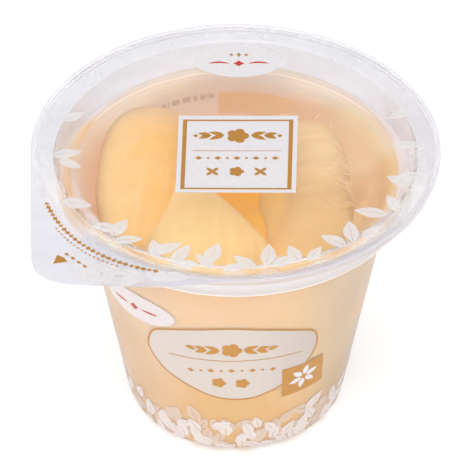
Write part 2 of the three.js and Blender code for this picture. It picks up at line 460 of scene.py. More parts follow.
def rounded(corners):
    """[r, z, radius, steps] corners to points, with an arc at each corner that has a radius."""
    out = []
    n = len(corners)
    for i, c in enumerate(corners):
        r, z = c[0], c[1]
        rad = c[2] if len(c) > 2 else 0
        steps = c[3] if len(c) > 3 else 4
        if not rad or i in (0, n - 1):
            out.append((r, z))
            continue
        here = np.array([r, z], float)
        a = np.array(corners[i - 1][:2], float) - here
        b = np.array(corners[i + 1][:2], float) - here
        a /= np.linalg.norm(a)
        b /= np.linalg.norm(b)
        half = math.acos(max(-1, min(1, float(a @ b)))) / 2
        reach = rad / math.tan(half)
        mid = a + b
        centre = here + mid / np.linalg.norm(mid) * (rad / math.sin(half))
        p, q = here + a * reach - centre, here + b * reach - centre
        start = math.atan2(p[1], p[0])
        sweep = math.atan2(q[1], q[0]) - start
        if sweep > math.pi:
            sweep -= 2 * math.pi
        if sweep < -math.pi:
            sweep += 2 * math.pi
        for k in range(steps + 1):
            t = start + sweep * k / steps
            out.append((centre[0] + rad * math.cos(t), centre[1] + rad * math.sin(t)))
    return out


def refine(profile, longest):
    """Splits a profile's long straight steps."""
    out = [profile[0]]
    for p, q in zip(profile, profile[1:]):
        n = max(1, int(math.ceil(math.dist(p, q) / longest)))
        for k in range(1, n + 1):
            out.append((p[0] + (q[0] - p[0]) * k / n, p[1] + (q[1] - p[1]) * k / n))
    return out


def lathe(profile, sides=192, shift=None):
    """Turns a profile that starts and ends on the axis. shift(r, z, angle) may move a point.
    Returns points, faces and, for each face, its step along the profile."""
    verts, faces, steps, rings = [], [], [], []
    for r, z in profile:
        if r < 1e-6:
            rings.append([len(verts)])
            verts.append((0.0, 0.0, z))
            continue
        ring = []
        for k in range(sides):
            t = 2 * math.pi * k / sides
            rr, zz = shift(r, z, t) if shift else (r, z)
            ring.append(len(verts))
            verts.append((rr * math.cos(t), rr * math.sin(t), zz))
        rings.append(ring)
    for i, (a, b) in enumerate(zip(rings, rings[1:])):
        for k in range(sides):
            j = (k + 1) % sides
            if len(a) == 1 and len(b) == 1:
                continue
            if len(a) == 1:
                faces.append((a[0], b[j], b[k]))
            elif len(b) == 1:
                faces.append((a[k], a[j], b[0]))
            else:
                faces.append((a[k], a[j], b[j], b[k]))
            steps.append(i)
    return verts, faces, steps


# ------------------------------------------------------------------ cup
cup_profile = rounded([
    [0, 0],
    [BASE_R, 0, BASE_ROUND, 14],
    [BODY_TOP_R, LEDGE_Z, 1.2, 6],
    [SHOULDER_LOW_R, LEDGE_Z - 0.45, 0.45, 6],
    [SHOULDER_TOP_R, FLANGE_LOW, 0.6, 4],
    [FLANGE_R - WALL, FLANGE_LOW, 0.3, 3],
    [FLANGE_R - WALL, FLANGE_TOP - LIP_H],
    [FLANGE_R, FLANGE_TOP - LIP_H],
    [FLANGE_R, FLANGE_TOP, 0.5, 5],
    [shoulder_r(FLANGE_TOP) - WALL, FLANGE_TOP, 0.8, 6],
    [SHOULDER_LOW_R - WALL, LEDGE_Z + WALL, 0.5, 4],
    [body_r(LEDGE_Z + WALL) - WALL, LEDGE_Z + WALL, 2.0, 10],
    [body_r(WALL) - WALL, WALL, BASE_ROUND - WALL, 12],
    [0, WALL],
])
cup_profile = refine(cup_profile, 4.0)
v, f, steps = lathe(cup_profile, 192)


flange_step = max(range(len(cup_profile)), key=lambda i: cup_profile[i][0])


def cup_zone(step):
    (r0, z0), (r1, z1) = cup_profile[step], cup_profile[step + 1]
    if min(r0, r1) > FLANGE_R - WALL - 0.4 and max(z0, z1) < FLANGE_TOP - 0.3:
        return 4
    if min(z0, z1) > FLANGE_LOW - 1.0 and max(r0, r1) > SHOULDER_TOP_R - WALL - 0.05:
        return 2
    if max(z0, z1) < LEDGE_Z + 1.1 and min(r0, r1) > SHOULDER_LOW_R - 1.3 and step < flange_step:
        return 3
    if min(z0, z1) > LEDGE_Z - 0.95:
        return 1 if step < flange_step else 5
    return 0


cup = piece("cup_wall", v, f,
            [CUP_BODY, CUP_SHOULDER, CUP_FLANGE, CUP_EDGE, CUP_LIP, CUP_SHOULDER_IN],
            [cup_zone(s) for s in steps])
cup.visible_shadow = False
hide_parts("cup")

# ------------------------------------------------------------------ jelly
CORE_TOP = 46.0
SKIN_OUT = 0.22                # from the cup's outside to the haze's outside
SKIN_IN = 1.5                  # and to its inside
HAZE_TOP = LEDGE_Z + WALL - BITE
HAZE_END = 43.9                # the haze ends here, on the ledge
HAZE_LIP_FROM = 41.05          # and is pale from here


def bowl(pts, n=4):
    """Corners along a smooth line through the points, without the first."""
    pts = [np.array(p, float) for p in pts]
    pts = [pts[0] * 2 - pts[1]] + pts + [np.array([-pts[-2][0], pts[-2][1]])]
    out = []
    for p0, p1, p2, p3 in zip(pts, pts[1:], pts[2:], pts[3:]):
        for k in range(1, n + 1):
            t = k / n
            q = 0.5 * (2 * p1 + (p2 - p0) * t + (2 * p0 - 5 * p1 + 4 * p2 - p3) * t * t
                       + (3 * p1 - p0 - 3 * p2 + p3) * t ** 3)
            out.append([max(0.0, float(q[0])), float(q[1])])
    return out


haze_profile = rounded([
    [0, SKIN_OUT],
    [body_r(SKIN_OUT) - SKIN_OUT, SKIN_OUT, BASE_ROUND - SKIN_OUT, 12],
    [body_r(HAZE_TOP) - SKIN_OUT, HAZE_TOP, 1.7, 8],
    [HAZE_END, HAZE_TOP],
    [HAZE_END + 0.05, HAZE_TOP + 0.32],
    [42.2, HAZE_TOP + 0.34],
    [42.0, HAZE_TOP + 0.62],
    [41.3, HAZE_TOP + 0.62],
    [HAZE_LIP_FROM, HAZE_TOP + 0.45],
] + bowl([(HAZE_LIP_FROM, HAZE_TOP + 0.45), (39.8, 69.3), (38.5, 67.7), (37.3, 65.2), (35.4, 61.8),
          (31.5, 57.6), (25.0, 52.8), (17.0, 49.0), (8.5, 46.7), (0, CORE_TOP)]))
inside_from = haze_profile.index((HAZE_END, HAZE_TOP))
haze_profile = refine(haze_profile[:inside_from + 1], 2.0)[:-1] + refine(haze_profile[inside_from:], 2.0)
inside_from = haze_profile.index((HAZE_END, HAZE_TOP))


def haze_shift(r, z, t):
    if 20 < z < 64 and r < 36.5 and r < body_r(z) - SKIN_IN + 0.3:
        x, y = r * math.cos(t), r * math.sin(t)
        fade = min(1.0, (36.5 - r) / 3.0)
        lump = 2.2 * noise.noise(Vector((x, y, 3.0)) * 0.09)
        lump += 4.5 * math.exp(-((x - 29) / 12.0) ** 2 - ((y + 8) / 16.0) ** 2)
        lump += 10.0 * math.exp(-((x - 5) / 9.0) ** 2 - ((y + 8) / 13.0) ** 2)
        return r, z + fade * lump
    return r, z


v, f, steps = lathe(haze_profile, 160, haze_shift)


def haze_zone(step):
    if step < inside_from:
        return 0
    (r0, z0), (r1, z1) = haze_profile[step], haze_profile[step + 1]
    return 2 if min(r0, r1) > HAZE_LIP_FROM and min(z0, z1) > LEDGE_Z - 1.5 else 1


haze = piece("jelly_haze", v, f, [HAZE_OUT, HAZE_IN, HAZE_LIP],
             [haze_zone(s) for s in steps])
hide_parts("jelly")

SKIN_MID = 1.02
MENISCUS = 0.45
edge_r = shoulder_r(JELLY_TOP) - WALL + BITE
clear_profile = rounded([
    [0, CORE_TOP - 6.0],
    [body_r(CORE_TOP - 6.0) - SKIN_MID, CORE_TOP - 6.0],
    [body_r(66.0) - SKIN_MID, 66.0],
    [39.4, 68.6],
    [41.0, HAZE_TOP + 0.2, 0.3, 3],
    [HAZE_END - 0.3, HAZE_TOP + 0.2],
    [HAZE_END + 0.2, HAZE_TOP - 0.02],
    [shoulder_r(HAZE_TOP) - WALL + BITE, HAZE_TOP - 0.02, 0.4, 3],
    [edge_r, JELLY_TOP + MENISCUS],
])
clear_profile = refine(clear_profile, 6.0)
for r in np.concatenate([edge_r - np.array([0.25, 0.6, 1.0, 1.6, 2.4, 3.5, 5.0]),
                         np.linspace(edge_r - 8, 4, 9)]):
    clear_profile.append((float(r), JELLY_TOP + MENISCUS * math.exp(-(edge_r - float(r)) / 1.1)))
clear_profile.append((0.0, JELLY_TOP))
v, f, steps = lathe(clear_profile, 160)
clear = piece("jelly_clear", v, f, [JELLY])
clear.visible_shadow = False
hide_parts("jelly")


# ------------------------------------------------------------------ peach
def ico(level):
    import bmesh
    bm = bmesh.new()
    bmesh.ops.create_icosphere(bm, subdivisions=level, radius=1.0)
    vs = np.array([v.co[:] for v in bm.verts])
    fs = [tuple(v.index for v in face.verts) for face in bm.faces]
    bm.free()
    return vs, fs


ICO_V, ICO_F = ico(6)


def turn(rx, ry, rz):
    rx, ry, rz = map(math.radians, (rx, ry, rz))
    cx, sx, cy, sy, cz, sz = (math.cos(rx), math.sin(rx), math.cos(ry), math.sin(ry),
                              math.cos(rz), math.sin(rz))
    X = np.array([[1, 0, 0], [0, cx, -sx], [0, sx, cx]])
    Y = np.array([[cy, 0, sy], [0, 1, 0], [-sy, 0, cy]])
    Z = np.array([[cz, -sz, 0], [sz, cz, 0], [0, 0, 1]])
    return Z @ Y @ X


def peach_shape(centre, half, power, cuts, edge, lump, seed, rot=(0, 0, 0), torn=None):
    """A piece of peach: a rounded block cut by planes, with soft edges and lumps.
    cuts holds (direction, distance); torn is (direction, depth) of the side off the stone."""
    d = ICO_V
    R = turn(*rot)
    local = d @ R
    r_block = (np.abs(local / np.array(half)) ** power).sum(1) ** (-1 / power)
    total = r_block ** -edge
    for n, h in cuts:
        n = np.array(n, float)
        n /= np.linalg.norm(n)
        c = np.maximum(d @ n, 1e-4)
        total = total + (h / c) ** -edge
    r = total ** (-1 / edge)
    p = d * r[:, None]
    rng = Vector((seed * 7.3, seed * 1.7, seed * 3.1))
    add = np.array([lump * noise.noise(Vector(q) * 0.085 + rng)
                    + lump * 0.3 * noise.noise(Vector(q) * 0.25 + rng) for q in p])
    if torn is not None:
        n = np.array(torn[0], float)
        n /= np.linalg.norm(n)
        face = np.clip((d @ n - 0.35) / 0.4, 0, 1)
        rag = np.array([noise.noise(Vector((q[0] * 0.5, q[1] * 0.9, q[2] * 0.35)) + rng)
                        + 0.5 * noise.noise(Vector((q[0] * 1.1, q[1] * 1.9, q[2] * 0.7)) + rng)
                        for q in p])
        add = add + face * rag * torn[1]
    p = p + d * add[:, None]
    return p + np.array(centre, float)


def keep_inside(p, margin=0.25, top=72.6):
    """Holds a piece inside the haze's inner wall and under the jelly's surface."""
    q = p.copy()
    z = np.minimum(q[:, 2], top - 0.15 * np.maximum(0, q[:, 2] - top))
    q[:, 2] = z
    limit = BASE_R + SLOPE * np.minimum(z, 67.0) - 0.55 - margin
    r = np.hypot(q[:, 0], q[:, 1])
    k = np.where(r > limit, limit / np.maximum(r, 1e-6), 1.0)
    q[:, 0] *= k
    q[:, 1] *= k
    return q


peaches = {
    "peach_left": (
        peach_shape((-21.0, 4.0, 55.0), (14.5, 29.2, 16.0), 3.4, [((1, 0.1, 0.9), 14.5)],
                    9, 0.5, 1),
        peach_flesh("peach_left_flesh", lin(246, 217, 168), lin(254, 205, 106),
                    (-33, 0, 60), (0.050, 0.0, 0.0), (0, 0, 0.1), 0.45,
                    (8, 31, lin(229, 203, 171)), ((2, 66, 61, lin(255, 224, 170)),))),
    "peach_front": (
        peach_shape((-7.0, -17.0, 52.0), (17.9, 30.0, 18.6), 3.2,
                    [((-0.9376, 0.348, 0.12), 17.8), ((0.767, 0.641, 0.15), 10.3),
                     ((0, 1, 0.2), 23.0)], 14, 0.5, 2),
        peach_flesh("peach_front_flesh", lin(250, 223, 167), lin(248, 210, 146),
                    (-5, -8, 55), (0.035, -0.02, 0.0), (0.4, 0, 0.3), 0.4,
                    # this piece's back part, y above -4 mm, is lighter: painted light on a slope that lies
                    # in shade
                    haze_and_painted_light=((1, -15, -4, lin(255, 236, 194)), (2, 66, 61, lin(255, 228, 172))))),
    "peach_right": (
        peach_shape((17.8, -2.0, 54.0), (11.6, 31.0, 16.4), 3.2,
                    [((0.15, -0.5, 0.9), 16.5), ((-1, 0.0, 0.7), 10.6)],
                    7, 0.7, 3, (0, 0, 3), ((1, 0, 0.3), 1.1)),
        peach_flesh("peach_right_flesh", lin(230, 212, 178), lin(224, 196, 146),
                    (19, 8, 55), (0.0, -0.06, 0.0), (0, 0, -0.35), 0.4,
                    (12, 28, lin(232, 206, 170)),
                    ((0, 15.0, 10.0, lin(255, 222, 136)), (1, -6, -18, lin(234, 204, 152)),
                     (2, 63, 58, lin(255, 224, 150))),
                    (70, 420, 160))),
}
for name, (p, flesh) in peaches.items():
    fruit = piece(name, keep_inside(p), ICO_F, [flesh], sharp=60)
    fruit.visible_shadow = False

# loose fibres on the torn side of the right piece
rng = random.Random(9)
right_shape = keep_inside(peaches["peach_right"][0])
torn_side = [i for i in range(len(right_shape))
             if right_shape[i][0] > 24.5 and 62 < right_shape[i][2] < 69 and -8 < right_shape[i][1] < 15]
verts, faces = [], []
strands = []
for _ in range(46):
    start = Vector(right_shape[rng.choice(torn_side)])
    strands.append((start, Vector((rng.uniform(0.7, 1.3), rng.uniform(-1.1, -0.1), rng.uniform(-0.1, 0.35))),
                    Vector((rng.uniform(-0.2, 0.2), rng.uniform(-0.4, 0.2), rng.uniform(-0.2, 0.1))),
                    rng.uniform(0.8, 2.6), rng.uniform(0.22, 0.5)))
# a few that float loose in the jelly
for x, y, z, dx, dy, length in ((21.0, 25.0, 67.6, 0.5, 1.0, 5.0), (24.5, 22.0, 67.2, -0.2, 1.0, 3.4),
                                (-1.2, -2.6, 66.0, 0.4, -1.0, 2.6), (12.0, 27.0, 66.5, 1.0, 0.2, 3.0)):
    strands.append((Vector((x, y, z)), Vector((dx, dy, 0.05)), Vector((0.3, -0.3, 0.0)), length, 0.28))
for start, head, bend, length, thick in strands:
    head = head.normalized()
    side = head.cross(Vector((0, 0, 1))).normalized()
    up = side.cross(head).normalized()
    rings = []
    for k in range(6):
        s = k / 5
        c = start - head * 0.8 + head * (length + 0.8) * s + bend * length * 0.5 * s * s
        w = thick * (1 - 0.85 * s)
        ring = []
        for q in range(5):
            a = 2 * math.pi * q / 5
            ring.append(len(verts))
            verts.append(c + side * (w * math.cos(a)) + up * (w * math.sin(a)))
        rings.append(ring)
    faces.append(tuple(rings[0]))
    faces.append(tuple(reversed(rings[-1])))
    for a, b in zip(rings, rings[1:]):
        for q in range(5):
            j = (q + 1) % 5
            faces.append((a[j], a[q], b[q], b[j]))
verts = keep_inside(np.array([tuple(v) for v in verts]))
fibres = piece("peach_fibres", verts, faces, [
    peach_flesh("peach_fibre_flesh", lin(248, 226, 190), lin(242, 214, 172),
                (19, 8, 55), (0.0, -0.06, 0.0), (0, 0, -0.35), 0.3)], sharp=80)
fibres.visible_shadow = False


# ------------------------------------------------------------------ film lid
def quad(p0, p1, p2, t):
    return [(1 - t) ** 2 * a + 2 * (1 - t) * t * b + t * t * c for a, b, c in zip(p0, p1, p2)]


def cubic(p0, p1, p2, p3, t):
    s = 1 - t
    return [s ** 3 * a + 3 * s * s * t * b + 3 * s * t * t * c + t ** 3 * d
            for a, b, c, d in zip(p0, p1, p2, p3)]


TAB_LEFT_DEG, TAB_FRONT_DEG = 182.5, 272.0


def on_film(deg):
    return [FILM_R * math.cos(math.radians(deg)), FILM_R * math.sin(math.radians(deg))]


tab_line = []
for k in range(41):
    t = k / 40
    a, b = on_film(TAB_LEFT_DEG), (-49.7, -42.5)
    tab_line.append([a[0] + (b[0] - a[0]) * t, a[1] + (b[1] - a[1]) * t])
for k in range(1, 41):
    tab_line.append(quad((-49.7, -42.5), (-49.2, -53.0), (-39.2, -53.2), k / 40))
for k in range(1, 21):
    t = k / 20
    tab_line.append([-39.2 + 17.2 * t, -53.2 - 0.4 * t])
for k in range(1, 41):
    tab_line.append(cubic((-22.0, -53.6), (-13.0, -53.8), (-7.0, -51.8), on_film(TAB_FRONT_DEG), k / 40))
tab_line = np.array(tab_line)
tab_angle = np.unwrap(np.arctan2(tab_line[:, 1], tab_line[:, 0])) % (2 * np.pi)
tab_radius = np.hypot(tab_line[:, 0], tab_line[:, 1])


def film_edge(t):
    """The film's outline: its radius at an angle."""
    t = t % (2 * math.pi)
    if tab_angle[0] < t < tab_angle[-1]:
        return float(np.interp(t, tab_angle, tab_radius))
    return FILM_R


SHEET = 0.2                    # the film's thickness as shown


def film_top(x, y):
    """Height of the film's upper face: heat-sealed flat, slack inside, the tab bent up a little."""
    r = math.hypot(x, y)
    t = math.atan2(y, x)
    z = TOTAL_H - 0.02
    if r < 45.0:
        s = r / 45.0
        z -= 0.32 * (1 - s * s) ** 1.2
        pucker = math.exp(-((r - 42.0) / 2.6) ** 2)
        z += pucker * 0.045 * math.sin(46 * t + 2.0 * noise.noise(Vector((x, y, 0)) * 0.05))
        z += 0.05 * (1 - s) * noise.noise(Vector((x * 0.03, y * 0.08, 5.0)))
    elif r > 51.3:
        z += 0.0022 * (r - 51.3) ** 2
        z += 0.06 * min(1.0, (r - 51.3) / 4) * noise.noise(Vector((x * 0.12, y * 0.12, 9.0)))
    return z


radii = [3.0 * k for k in range(1, 13)] + [37.5 + 0.75 * k for k in range(17)]
angles = 480
verts, faces = [], []
rows = {}
for side, drop in (("top", 0.0), ("low", SHEET)):
    centre = len(verts)
    verts.append((0, 0, film_top(0, 0) - drop))
    rings = []
    for r in radii:
        ring = []
        for k in range(angles):
            t = 2 * math.pi * k / angles
            x, y = r * math.cos(t), r * math.sin(t)
            ring.append(len(verts))
            verts.append((x, y, film_top(x, y) - drop))
        rings.append(ring)
    last = radii[-1]
    for j in range(1, 8):
        ring = []
        for k in range(angles):
            t = 2 * math.pi * k / angles
            r = last + (film_edge(t) - last) * j / 7
            x, y = r * math.cos(t), r * math.sin(t)
            ring.append(len(verts))
            verts.append((x, y, film_top(x, y) - drop))
        rings.append(ring)
    rows[side] = (centre, rings)
for side in ("top", "low"):
    centre, rings = rows[side]
    for k in range(angles):
        j = (k + 1) % angles
        tri = (centre, rings[0][k], rings[0][j])
        faces.append(tri if side == "top" else tri[::-1])
        for a, b in zip(rings, rings[1:]):
            q = (a[k], b[k], b[j], a[j])
            faces.append(q if side == "top" else q[::-1])
outer_top, outer_low = rows["top"][1][-1], rows["low"][1][-1]
for k in range(angles):
    j = (k + 1) % angles
    faces.append((outer_top[k], outer_low[k], outer_low[j], outer_top[j]))
film = piece("lid_film_sheet", verts, faces, [FILM], sharp=40)
film.visible_shadow = False
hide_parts("lid_film")


# ------------------------------------------------------------------ print
class Print:
    """Thin closed patches of ink on a surface. place(u, v, h) gives a point h above it."""

    def __init__(self, place):
        self.place = place
        self.verts, self.faces = [], []

    def _close(self, top, low, loop):
        for a, b in zip(loop, loop[1:] + loop[:1]):
            self.faces.append((top[a], low[a], low[b], top[b]))

    def patch(self, outline, h0, h1, rings=2, centre=None):
        """A star-shaped outline, counterclockwise, filled from its centre."""
        n = len(outline)
        if centre is None:
            centre = (sum(p[0] for p in outline) / n, sum(p[1] for p in outline) / n)
        levels = []
        for h in (h1, h0):
            c = len(self.verts)
            self.verts.append(self.place(centre[0], centre[1], h))
            loops = []
            for k in range(1, rings + 1):
                s = k / rings
                loop = []
                for u, v in outline:
                    loop.append(len(self.verts))
                    self.verts.append(self.place(centre[0] + (u - centre[0]) * s,
                                                 centre[1] + (v - centre[1]) * s, h))
                loops.append(loop)
            levels.append((c, loops))
        for level, (c, loops) in enumerate(levels):
            for k in range(n):
                j = (k + 1) % n
                quads = [(c, loops[0][k], loops[0][j])]
                quads += [(a[k], b[k], b[j], a[j]) for a, b in zip(loops, loops[1:])]
                self.faces += quads if level == 0 else [q[::-1] for q in quads]
        top, low = levels[0][1][-1], levels[1][1][-1]
        for k in range(n):
            j = (k + 1) % n
            self.faces.append((top[k], low[k], low[j], top[j]))

    def strip(self, left, right, h0, h1, closed=False):
        """A band between two lines of points; left lies to the left of the run."""
        n = len(left)
        rows = []
        for h in (h1, h0):
            row = []
            for (a, b), (c, d) in zip(left, right):
                tri = []
                for s in (0.0, 0.5, 1.0):
                    tri.append(len(self.verts))
                    self.verts.append(self.place(a + (c - a) * s, b + (d - b) * s, h))
                row.append(tri)
            rows.append(row)
        top, low = rows
        for k in range(n if closed else n - 1):
            j = (k + 1) % n
            for s in (0, 1):
                self.faces.append((top[k][s], top[k][s + 1], top[j][s + 1], top[j][s]))
                self.faces.append((low[k][s], low[j][s], low[j][s + 1], low[k][s + 1]))
            self.faces.append((top[k][0], top[j][0], low[j][0], low[k][0]))
            self.faces.append((top[k][2], low[k][2], low[j][2], top[j][2]))
        if not closed:
            for k, flip in ((0, False), (n - 1, True)):
                for s in (0, 1):
                    q = (top[k][s], low[k][s], low[k][s + 1], top[k][s + 1])
                    self.faces.append(q[::-1] if flip else q)

    def stroke(self, line, width, h0, h1, closed=False):
        """A band of one width along a line of points; width may be a function of 0 to 1."""
        n = len(line)
        left, right = [], []
        for i, (u, v) in enumerate(line):
            a = line[(i - 1) % n] if closed or i else line[i]
            b = line[(i + 1) % n] if closed or i < n - 1 else line[i]
            du, dv = b[0] - a[0], b[1] - a[1]
            m = math.hypot(du, dv) or 1.0
            w = (width(i / (n - 1)) if callable(width) else width) / 2
            left.append((u - dv / m * w, v + du / m * w))
            right.append((u + dv / m * w, v - du / m * w))
        self.strip(left, right, h0, h1, closed)

    def done(self, name, mat, slot):
        ob = piece(name, self.verts, self.faces, [mat], sharp=50)
        ob.visible_shadow = False
        return ob


def leaf_outline(u, v, turn_deg, length, width, bend=0.0, n=9):
    """A pointed leaf from its stalk end at (u, v), counterclockwise."""
    t0 = math.radians(turn_deg)
    ca, sa = math.cos(t0), math.sin(t0)

    def at(t, side):
        w = width / 2 * math.sin(math.pi * min(1.0, t) ** 0.82) ** 0.9 if 0 < t < 1 else 0.0
        x = length * t
        y = bend * length * 4 * t * (1 - t) * 0.25 + side * w
        return (u + ca * x - sa * y, v + sa * x + ca * y)

    lower = [at(k / n, -1) for k in range(n + 1)]
    upper = [at(k / n, 1) for k in range(n - 1, 0, -1)]
    return lower + upper


def blossom(u, v, r, petals=5, spin=0.0, n=40):
    """A plain five-petal rosette."""
    out = []
    for k in range(n):
        t = 2 * math.pi * k / n
        q = r * (0.74 + 0.26 * abs(math.cos(petals * t / 2 + spin)) ** 0.8)
        out.append((u + q * math.cos(t), v + q * math.sin(t)))
    return out


def lozenge(u, v, a, b, turn_deg=0.0):
    t0 = math.radians(turn_deg)
    ca, sa = math.cos(t0), math.sin(t0)
    return [(u + ca * x - sa * y, v + sa * x + ca * y)
            for x, y in ((a, 0), (a * .45, b * .45), (0, b), (-a * .45, b * .45),
                         (-a, 0), (-a * .45, -b * .45), (0, -b), (a * .45, -b * .45))]


def ellipse(u, v, a, b, turn_deg=0.0, n=56):
    t0 = math.radians(turn_deg)
    ca, sa = math.cos(t0), math.sin(t0)
    return [(u + ca * a * math.cos(t) - sa * b * math.sin(t),
             v + sa * a * math.cos(t) + ca * b * math.sin(t))
            for t in (2 * math.pi * k / n for k in range(n))]


def on_lid(x, y, h):
    return (x, y, film_top(x, y) + h)


RHO0 = (BASE_R + SLOPE * 35.0) / math.sin(BETA)


def on_body(s, v, h):
    """A point of the unrolled body wall: s round it from the front, v up it from z = 35."""
    rho = math.hypot(s, RHO0 + v)
    phi = math.atan2(s, RHO0 + v) / math.sin(BETA)
    r = rho * math.sin(BETA)
    z = (r - BASE_R) / SLOPE
    r, z = r + h * math.cos(BETA), z - h * math.sin(BETA)
    return (r * math.sin(phi), -r * math.cos(phi), z)


outer_line = [p for p in cup_profile[:cup_profile.index(min(
    cup_profile, key=lambda p: math.dist(p, (BODY_TOP_R, LEDGE_Z)))) + 1]]
outer_at = np.concatenate([[0], np.cumsum([math.dist(a, b) for a, b in zip(outer_line, outer_line[1:])])])
outer_r = np.array([p[0] for p in outer_line])
outer_z = np.array([p[1] for p in outer_line])
FOOT = float(np.interp(BASE_R - BASE_ROUND * 1.19, outer_r, outer_at))


def on_foot(a, t, h):
    """A point of the cup's outside, foot rounding included: a round it in mm at the foot,
    t up it from where the rounding starts."""
    q = FOOT + t
    r = float(np.interp(q, outer_at, outer_r))
    z = float(np.interp(q, outer_at, outer_z))
    r2 = float(np.interp(q + 0.2, outer_at, outer_r))
    z2 = float(np.interp(q + 0.2, outer_at, outer_z))
    m = math.hypot(r2 - r, z2 - z) or 1.0
    r, z = r + h * (z2 - z) / m, z - h * (r2 - r) / m
    phi = a / 29.5
    return (r * math.sin(phi), -r * math.cos(phi), z)


H0, H1 = 0.012, 0.034          # ink under and upper face above the plastic, mm

# leaves on the lid: a faint wreath over the sealed rim, and clearer sprays that reach inward
rng = random.Random(41)


def leaf_pair(target, u, v, turn_deg, length, width, bend, lift):
    """A leaf as two halves with a thin vein left clear between them."""
    t0 = math.radians(turn_deg)
    ca, sa = math.cos(t0), math.sin(t0)
    n = 9
    for side in (-1, 1):
        line = []
        for k in range(n + 1):
            s = k / n
            line.append((length * s, bend * length * s * (1 - s) + side * 0.10 * (1 - s) ** 0.5))
        for k in range(n - 1, 0, -1):
            s = k / n
            w = width / 2 * math.sin(math.pi * s ** 0.82) ** 0.9
            line.append((length * s, bend * length * s * (1 - s) + side * max(w, 0.14)))
        out = [(u + ca * x - sa * y, v + sa * x + ca * y) for x, y in line]
        if side > 0:
            mid = (sum(p[0] for p in out) / len(out), sum(p[1] for p in out) / len(out))
        else:
            out = out[::-1]
            mid = (sum(p[0] for p in out) / len(out), sum(p[1] for p in out) / len(out))
        target.patch(out, H0 + lift, H1 + lift, 2, mid)


def fits_lid(u, v, turn_deg, length, width):
    """True if the leaf's outline stays on the film."""
    for p in leaf_outline(u, v, turn_deg, length, width):
        if math.hypot(*p) > min(51.2, film_edge(math.atan2(p[1], p[0])) - 0.25):
            return False
    return True


wreath = Print(on_lid)
count = 0
for r0, gap, spread in ((48.4, 13.0, 30), (46.6, 21.0, 40)):
    n = int(2 * math.pi * r0 / gap)
    for k in range(n):
        deg = 360.0 * k / n + rng.uniform(-2, 2)
        for _ in range(4):
            t = math.radians(deg)
            r = r0 + rng.uniform(-0.9, 0.9)
            turn_deg = deg + 90 + rng.choice((-1, 1)) * rng.uniform(4, spread) + rng.choice((0, 180))
            length, width = rng.uniform(6.0, 8.4), rng.uniform(2.9, 3.8)
            u, v = r * math.cos(t), r * math.sin(t)
            if fits_lid(u, v, turn_deg, length, width):
                lift = (count % 7) * 0.0045
                wreath.patch(leaf_outline(u, v, turn_deg, length, width, rng.uniform(-0.2, 0.2)),
                             H0 + lift, H1 + lift, 2)
                count += 1
                break
wreath.done("lid_print_wreath", FAINT_LEAF, "print_white")

# radius and angle of a stalk end, the way its leaf points, and its length
lid_leaves = Print(on_lid)
for i, (r, deg, turn_deg, length) in enumerate((
        (45.2, 166, 30, 6.4), (46.0, 184, 12, 7.6), (44.4, 186, -32, 6.8), (47.9, 206, -16, 8.0),
        (46.3, 221, -20, 7.4), (46.0, 229, 62, 7.6), (47.0, 231, 6, 7.0),
        (45.6, 243, 24, 8.4), (46.8, 246, 100, 7.0), (47.0, 251, 58, 7.8),
        (45.4, 261, 68, 8.0), (46.9, 263, 128, 6.6), (47.2, 266, 14, 6.4), (46.6, 259, 164, 6.0),
        (46.2, 279, 84, 8.2), (47.0, 281, 36, 6.8), (46.7, 276, 140, 7.0),
        (47.2, 289, 110, 7.0), (47.4, 292, 60, 6.2),
        (46.6, 308, 96, 8.0), (46.9, 305, 146, 7.4), (47.2, 311, 48, 6.6),
        (45.6, 325, 168, 8.4), (47.0, 328, 112, 6.6),
        (46.4, 341, 150, 7.4), (47.0, 347, 200, 6.8), (46.2, 1, 176, 7.0), (46.6, 18, 205, 6.4))):
    t = math.radians(deg)
    leaf_pair(lid_leaves, r * math.cos(t), r * math.sin(t), turn_deg, length,
              length * rng.uniform(0.44, 0.52), rng.uniform(-0.16, 0.16), 0.014 + (i % 7) * 0.0045)
for i, (x, y, turn_deg, length) in enumerate((
        (-38.6, -43.4, -52, 7.6), (-35.8, -45.6, -96, 6.8), (-33.6, -45.4, -28, 7.4),
        (-30.4, -47.6, -100, 5.6), (-27.4, -47.2, -44, 7.2), (-25.2, -48.6, -92, 4.6),
        (-21.6, -48.2, -30, 7.2), (-17.4, -49.6, -8, 6.2), (-36.4, -49.4, -24, 5.8),
        (-29.6, -51.6, -6, 6.0))):
    leaf_pair(lid_leaves, x, y, turn_deg, length, 0.56 * length, 0.1, 0.014 + (i % 7) * 0.0045)
lid_leaves.done("lid_print_leaves", WHITE_LEAF, "print_white")

# the lid's square panel: white, in a gold frame, with a generic ornament
PANEL = ((-14.4, 13.1), (15.8, 13.1), (14.9, -17.7), (-14.9, -17.5))


def on_panel(u, v):
    """0-1 over the panel, from its lower left corner, to the lid."""
    tl, tr, br, bl = PANEL
    return tuple((1 - u) * ((1 - v) * bl[i] + v * tl[i]) + u * ((1 - v) * br[i] + v * tr[i])
                 for i in (0, 1))


def panel_box(u0, v0, u1, v1, n=10):
    pts = []
    for k in range(n):
        pts.append(on_panel(u0 + (u1 - u0) * k / n, v0))
    for k in range(n):
        pts.append(on_panel(u1, v0 + (v1 - v0) * k / n))
    for k in range(n):
        pts.append(on_panel(u1 - (u1 - u0) * k / n, v1))
    for k in range(n):
        pts.append(on_panel(u0, v1 - (v1 - v0) * k / n))
    return pts


lid_panel = Print(on_lid)
lid_panel.patch(panel_box(0, 0, 1, 1), H0 + 0.03, H1 + 0.04, 6)
lid_panel.done("lid_print_panel", WHITE_INK, "print_white")

G0, G1 = H1 + 0.045, H1 + 0.06
lid_gold = Print(on_lid)


